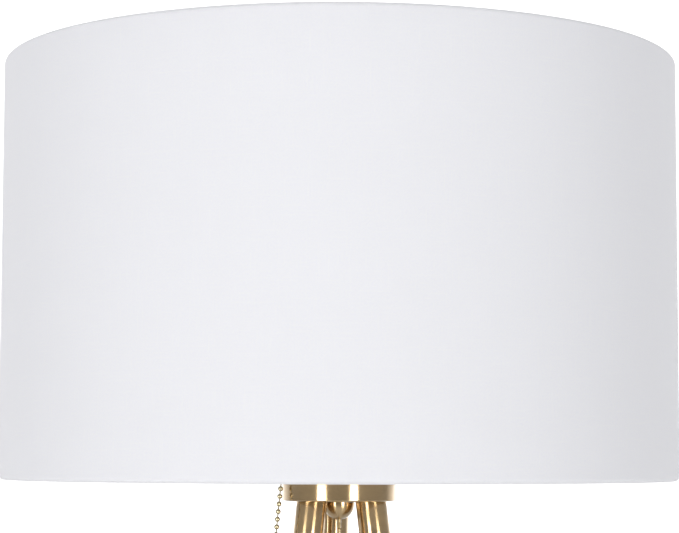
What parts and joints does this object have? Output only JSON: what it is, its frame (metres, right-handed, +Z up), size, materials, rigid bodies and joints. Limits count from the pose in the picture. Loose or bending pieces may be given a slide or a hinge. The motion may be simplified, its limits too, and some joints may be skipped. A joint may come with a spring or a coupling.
{
  "type": "tripod floor lamp",
  "caption": "Tripod floor lamp: slim antique brass legs bolted to a round hub, pull-chain lamp holder with harp, white drum shade and a flat flex with plug.",
  "frame": {"origin": "on the floor, on the lamp's vertical axis, at the bottom centre of the lamp's box without its cord", "axes": "+Z up along the lamp's axis, +Y towards the rear leg, +X to the right seen from the front between the two front legs"},
  "size_m": [0.406, 0.406, 1.5501],
  "materials": {
    "antique_brass": "antique brushed brass under clear lacquer",
    "bright_brass": "plain brass plating",
    "chain_brass": "polished ball chain",
    "zinc_steel": "zinc plated",
    "bulb_screw_cap": "rolled thread",
    "white_linen": "white linen weave with slubs",
    "styrene_liner": "smooth white",
    "white_wire": "white powder coat",
    "insulating_card": "fibre sleeve",
    "phenolic": "moulded dark brown",
    "bulb_housing": "moulded white",
    "bulb_diffuser": "frosted diffuser",
    "rubber": "black moulded",
    "flex_gold": "clear gold twin flex",
    "cord_tie": "strap",
    "plug_gold": "moulded plug",
    "plug_blade": "plain brass"
  },
  "bodies": {
    "lamp_frame": {"hub_disc": "antique_brass", "hub_dome": "antique_brass", "cord_bushing": "flex_gold", "threaded_nipple": "zinc_steel", "neck_spacer": "antique_brass", "harp_saddle": "bright_brass", "harp_sleeve_a": "bright_brass", "harp_sleeve_b": "bright_brass", "harp_bow": "bright_brass", "socket_cap": "bright_brass", "socket_shell": "bright_brass", "socket_insulator": "insulating_card", "switch_body": "phenolic", "screw_shell": "bright_brass", "centre_tongue": "bright_brass", "pull_arm": "bright_brass", "inner_lead": "flex_gold", "leg_rear_upper": "antique_brass", "leg_rear_lower": "antique_brass", "leg_rear_coupler": "bright_brass", "leg_rear_stud": "zinc_steel", "leg_rear_nut": "antique_brass", "leg_rear_foot": "rubber", "leg_left_upper": "antique_brass", "leg_left_lower": "antique_brass", "leg_left_coupler": "bright_brass", "leg_left_stud": "zinc_steel", "leg_left_nut": "antique_brass", "leg_left_foot": "rubber", "leg_right_upper": "antique_brass", "leg_right_lower": "antique_brass", "leg_right_coupler": "bright_brass", "leg_right_stud": "zinc_steel", "leg_right_nut": "antique_brass", "leg_right_foot": "rubber", "cord_hang": "flex_gold", "cord_coil": "flex_gold", "cord_tail": "flex_gold", "cord_tie": "cord_tie", "plug_body": "plug_gold", "plug_blade_left": "plug_blade", "plug_blade_right": "plug_blade"},
    "shade": {"shade_fabric": "white_linen", "shade_liner": "styrene_liner", "shade_bottom_ring": "white_wire", "shade_spider": "white_wire"},
    "finial_base": {"finial_base": "antique_brass"},
    "finial_knob": {"finial_knob": "antique_brass"},
    "bulb_tip": {"bulb_contact": "zinc_steel"},
    "bulb": {"bulb_cap": "bulb_screw_cap", "bulb_housing": "bulb_housing", "bulb_globe": "bulb_diffuser"},
    "chain_head": {"chain_head": "chain_brass"},
    "chain": {"pull_chain": "chain_brass", "chain_pendant": "chain_brass"}
  },
  "joints": [
    {"name": "shade_turn", "type": "hinge", "parent": "lamp_frame", "child": "shade", "pos_m": [0, 0, 1.52], "axis": [0, 0, 1], "continuous": true},
    {"name": "finial_lift", "type": "slide", "parent": "lamp_frame", "child": "finial_base", "axis": [0, 0, 1], "range_m": [0, 0.009]},
    {"name": "finial_turn", "type": "hinge", "parent": "finial_base", "child": "finial_knob", "pos_m": [0, 0, 1.5261], "axis": [0, 0, 1], "range_deg": [0, 2880]},
    {"name": "bulb_lift", "type": "slide", "parent": "lamp_frame", "child": "bulb_tip", "axis": [0, 0, 1], "range_m": [0, 0.02]},
    {"name": "bulb_turn", "type": "hinge", "parent": "bulb_tip", "child": "bulb", "pos_m": [0, 0, 1.3409], "axis": [0, 0, 1], "range_deg": [0, 1800]},
    {"name": "chain_pull", "type": "slide", "parent": "lamp_frame", "child": "chain_head", "axis": [-0.0998, -0.0319, -0.9945], "range_m": [0, 0.008], "stiffness_N_per_m": 250, "springref_m": -0.012},
    {"name": "chain_swing", "type": "hinge", "parent": "chain_head", "child": "chain", "pos_m": [-0.03313, -0.01014, 1.31318], "axis": [-0.3045, 0.9525, 0], "range_deg": [0, 40]}
  ],
  "couplings": [
    {"joint": "finial_lift", "follows": "finial_turn", "m_per_rad": 0.00014961},
    {"joint": "bulb_lift", "follows": "bulb_turn", "m_per_rad": 0.00057773}
  ]
}
